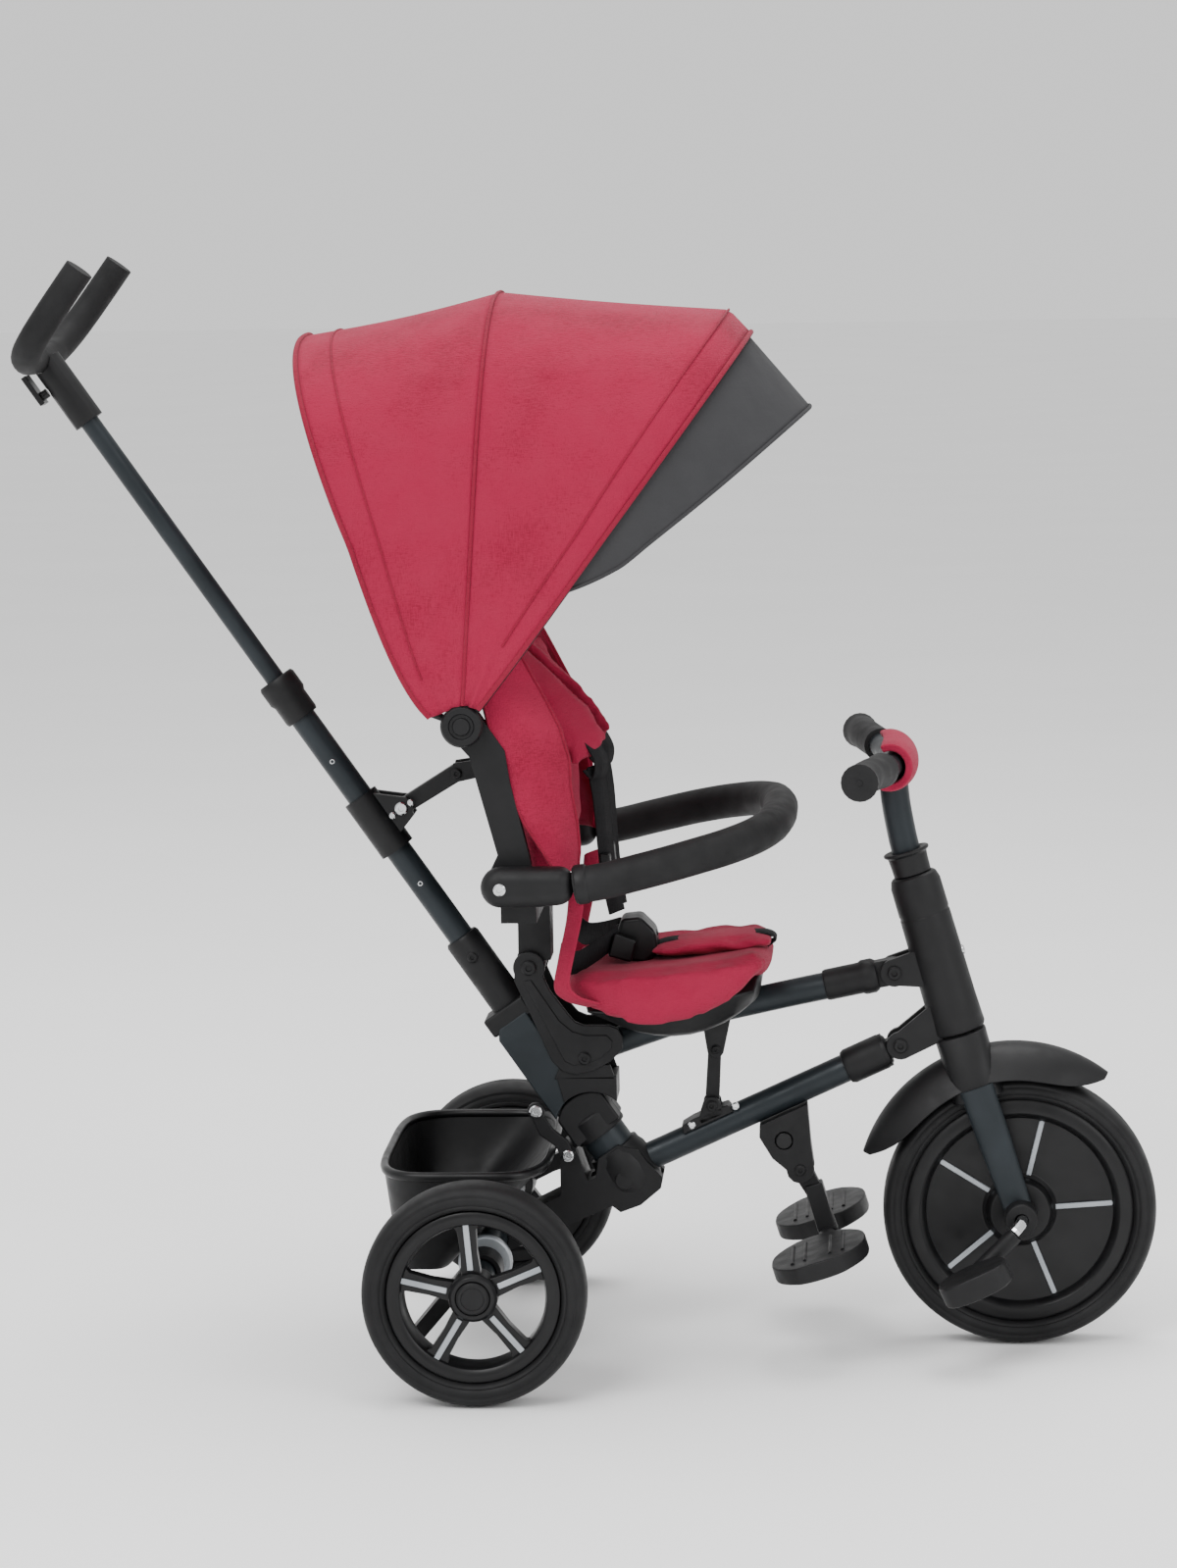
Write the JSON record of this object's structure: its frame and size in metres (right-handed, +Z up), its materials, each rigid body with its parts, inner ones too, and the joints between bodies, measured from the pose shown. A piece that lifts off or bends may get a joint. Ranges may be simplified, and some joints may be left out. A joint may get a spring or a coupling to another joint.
{
  "type": "children's tricycle",
  "caption": "Children's tricycle with parent push handle, reclining padded seat, fabric canopy, safety ring, folding footrest, rear basket and folding frame.",
  "frame": {"origin": "on the ground, under the middle of the whole object", "axes": "+X forward, +Y to the rider's left, +Z up"},
  "size_m": [1.0429, 0.502, 1.0197],
  "materials": {
    "tube": "satin grey-blue paint",
    "plastic": "fine-grained black moulding",
    "eva": "matt foam tyre",
    "foam": "matt foam sleeve",
    "red": "woven crimson cloth",
    "visor": "dark grey melange cloth",
    "steel": "bright plated"
  },
  "bodies": {
    "main_frame": {"rear_axle": "steel", "axle_beam": "plastic", "basket": "plastic", "elbow_housing": "plastic", "column_tube": "tube", "lower_tube": "tube", "lower_sleeve": "plastic", "footrest_housing": "plastic"},
    "post_frame": {"seat_bracket": "plastic", "push_tube_lower": "tube", "push_collar": "plastic"},
    "push_handle": {"push_tube_upper": "tube", "handle_socket": "plastic", "handle_grip": "foam"},
    "release_plate": {"handle_release": "plastic"},
    "clamp": {"recline_clamp": "plastic"},
    "link": {"recline_link": "plastic"},
    "backrest": {"back_frame": "plastic", "seat_back_cushion": "red", "shoulder_pad_right": "red", "shoulder_pad_left": "red", "canopy_rear_bow": "plastic", "canopy_rear_cover": "red"},
    "canopy_middle": {"canopy_mid_bow": "plastic", "canopy_front_cover": "red"},
    "canopy_front": {"canopy_front_bow": "plastic", "canopy_visor": "visor"},
    "armrests": {"armrest_right": "plastic", "armrest_left": "plastic"},
    "ring": {"safety_bar": "foam"},
    "seat_frame": {"upper_tube": "tube", "upper_sleeve": "plastic", "seat_base": "plastic", "seat_cushion": "red", "crotch_pad": "red", "harness_buckle": "plastic"},
    "seat_link": {"seat_link": "plastic"},
    "elbow_button": {"elbow_button": "plastic"},
    "fold_latch": {"fold_latch": "plastic"},
    "brake_pedal": {"brake_pedal": "plastic"},
    "footrest_button": {"footrest_button": "plastic"},
    "footrest": {"footrest_leg": "plastic", "foot_plate_right": "plastic", "foot_plate_left": "plastic"},
    "head": {"head_tube": "plastic"},
    "steering": {"handlebar": "tube", "grip_right": "foam", "grip_left": "foam", "handlebar_pad": "red", "fork": "tube", "mudguard": "plastic"},
    "front_wheel": {"front_tyre": "eva", "front_rim": "plastic"},
    "crank": {"crank": "steel"},
    "pedal_right": {"pedal_right": "plastic"},
    "pedal_left": {"pedal_left": "plastic"},
    "rear_wheel_right": {"rear_tyre_right": "eva", "rear_rim_right": "plastic"},
    "rear_wheel_left": {"rear_tyre_left": "eva", "rear_rim_left": "plastic"}
  },
  "joints": [
    {"name": "fold", "type": "hinge", "parent": "main_frame", "child": "post_frame", "pos_m": [-0.0035, 0, 0.206], "axis": [0, 1, 0], "range_deg": [0, 8]},
    {"name": "head_fold", "type": "hinge", "parent": "main_frame", "child": "head", "pos_m": [0.2844, 0, 0.2825], "axis": [0, 1, 0], "range_deg": [0, 8]},
    {"name": "seat_link_fold", "type": "hinge", "parent": "main_frame", "child": "seat_link", "pos_m": [0.1084, 0, 0.226], "axis": [0, 1, 0], "range_deg": [0, 8]},
    {"name": "seat_fold", "type": "hinge", "parent": "post_frame", "child": "seat_frame", "pos_m": [-0.0088, 0, 0.2747], "axis": [0, 1, 0], "range_deg": [-8, 0]},
    {"name": "handle_length", "type": "slide", "parent": "post_frame", "child": "push_handle", "axis": [0.5698, 0, -0.8218], "range_m": [0, 0.25]},
    {"name": "handle_release", "type": "slide", "parent": "push_handle", "child": "release_plate", "axis": [0.8218, 0, 0.5698], "range_m": [0, 0.004], "stiffness_N_per_m": 300},
    {"name": "recline", "type": "hinge", "parent": "post_frame", "child": "backrest", "pos_m": [-0.0576, 0, 0.362], "axis": [0, -1, 0], "range_deg": [0, 12]},
    {"name": "clamp_slide", "type": "slide", "parent": "post_frame", "child": "clamp", "axis": [0.5698, 0, -0.8218], "range_m": [0, 0.0547]},
    {"name": "link_turn", "type": "hinge", "parent": "clamp", "child": "link", "pos_m": [-0.1766, 0, 0.5085], "axis": [0, -1, 0], "range_deg": [0, 72.4]},
    {"name": "canopy_middle_fold", "type": "hinge", "parent": "backrest", "child": "canopy_middle", "pos_m": [-0.1046, 0, 0.604], "axis": [0, -1, 0], "range_deg": [0, 18], "deforming": ["canopy_rear_cover", "canopy_front_cover"]},
    {"name": "canopy_front_fold", "type": "hinge", "parent": "canopy_middle", "child": "canopy_front", "pos_m": [-0.1046, 0, 0.604], "axis": [0, -1, 0], "range_deg": [0, 24]},
    {"name": "bar_lift", "type": "hinge", "parent": "backrest", "child": "armrests", "pos_m": [-0.0716, 0, 0.46], "axis": [0, -1, 0], "range_deg": [0, 50]},
    {"name": "bar_reach", "type": "slide", "parent": "armrests", "child": "ring", "axis": [1, 0, 0], "range_m": [0, 0.035]},
    {"name": "elbow_press", "type": "slide", "parent": "main_frame", "child": "elbow_button", "axis": [0, 1, 0], "range_m": [0, 0.003], "stiffness_N_per_m": 300},
    {"name": "latch_swing", "type": "hinge", "parent": "post_frame", "child": "fold_latch", "pos_m": [-0.0551, 0, 0.225], "axis": [0, -1, 0], "range_deg": [0, 20], "stiffness_Nm_per_rad": 0.1},
    {"name": "brake_press", "type": "hinge", "parent": "main_frame", "child": "brake_pedal", "pos_m": [-0.0976, 0, 0.101], "axis": [0, -1, 0], "range_deg": [0, 20]},
    {"name": "footrest_press", "type": "slide", "parent": "main_frame", "child": "footrest_button", "axis": [0, 1, 0], "range_m": [0, 0.003], "stiffness_N_per_m": 300},
    {"name": "footrest_fold", "type": "hinge", "parent": "main_frame", "child": "footrest", "pos_m": [0.1904, 0, 0.165], "axis": [0, 1, 0], "range_deg": [0, 60]},
    {"name": "steer", "type": "hinge", "parent": "head", "child": "steering", "pos_m": [0.339, 0, 0.295], "axis": [-0.2756, 0, 0.9613], "range_deg": [-25, 25]},
    {"name": "front_spin", "type": "hinge", "parent": "steering", "child": "front_wheel", "pos_m": [0.3944, 0, 0.127], "axis": [0, 1, 0], "continuous": true},
    {"name": "crank_spin", "type": "hinge", "parent": "steering", "child": "crank", "pos_m": [0.3944, 0, 0.127], "axis": [0, 1, 0], "continuous": true},
    {"name": "pedal_right_spin", "type": "hinge", "parent": "crank", "child": "pedal_right", "pos_m": [0.35056, 0, 0.08316], "axis": [0, 1, 0], "continuous": true},
    {"name": "pedal_left_spin", "type": "hinge", "parent": "crank", "child": "pedal_left", "pos_m": [0.43824, 0, 0.17084], "axis": [0, 1, 0], "continuous": true},
    {"name": "rear_right_spin", "type": "hinge", "parent": "main_frame", "child": "rear_wheel_right", "pos_m": [-0.0976, 0, 0.101], "axis": [0, 1, 0], "continuous": true},
    {"name": "rear_left_spin", "type": "hinge", "parent": "main_frame", "child": "rear_wheel_left", "pos_m": [-0.0976, 0, 0.101], "axis": [0, 1, 0], "continuous": true}
  ],
  "couplings": [
    {"joint": "head_fold", "follows": "fold", "ratio": 1},
    {"joint": "seat_link_fold", "follows": "fold", "ratio": 1},
    {"joint": "seat_fold", "follows": "fold", "ratio": -1},
    {"joint": "clamp_slide", "follows": "recline", "m_per_rad": 0.2611},
    {"joint": "link_turn", "follows": "recline", "ratio": 6.033},
    {"joint": "canopy_front_fold", "follows": "canopy_middle_fold", "ratio": 1.333}
  ]
}
